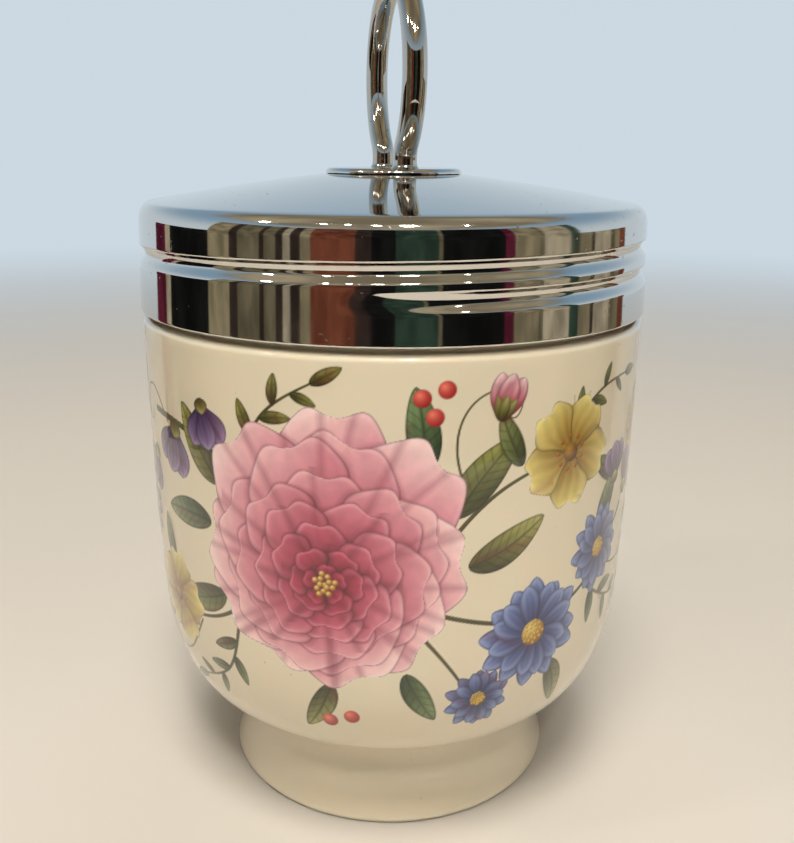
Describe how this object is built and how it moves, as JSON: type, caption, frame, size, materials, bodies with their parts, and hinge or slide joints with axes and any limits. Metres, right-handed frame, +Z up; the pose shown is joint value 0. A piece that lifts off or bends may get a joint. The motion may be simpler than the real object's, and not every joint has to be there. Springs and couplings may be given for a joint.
{
  "type": "egg coddler",
  "caption": "Footed porcelain coddling cup with a threaded neck, and a pressed metal screw lid with a wire lifting bow.",
  "frame": {"origin": "middle of the foot's rest face, on the axis of the cup", "axes": "+Z up along the cup's axis, -Y towards the viewer of the picture"},
  "size_m": [0.076, 0.076, 0.123],
  "materials": {
    "porcelain": "clear gloss glaze over a warm white body",
    "lid_chrome": "polished plating",
    "seal_rubber": "matt",
    "plate_chrome": "polished plating",
    "wire_chrome": "polished plating",
    "washer_steel": "plain sheet"
  },
  "bodies": {
    "cup": {"cup": "porcelain"},
    "seal": {"sealing_ring": "seal_rubber"},
    "washer": {"backing_washer": "washer_steel"},
    "lid": {"lid_shell": "lid_chrome", "boss_plate": "plate_chrome", "lifting_bow": "wire_chrome"}
  },
  "joints": [
    {"name": "lid_lift_off", "type": "slide", "parent": "cup", "child": "seal", "axis": [0, 0, 1], "range_m": [0, 0.06]},
    {"name": "thread_climb", "type": "slide", "parent": "seal", "child": "washer", "axis": [0, 0, 1], "range_m": [0, 0.0035]},
    {"name": "lid_unscrew", "type": "hinge", "parent": "washer", "child": "lid", "pos_m": [0, 0, 0.0948], "axis": [0, 0, 1], "range_deg": [0, 360]}
  ],
  "couplings": [
    {"joint": "thread_climb", "follows": "lid_unscrew", "m_per_rad": 0.000557}
  ]
}
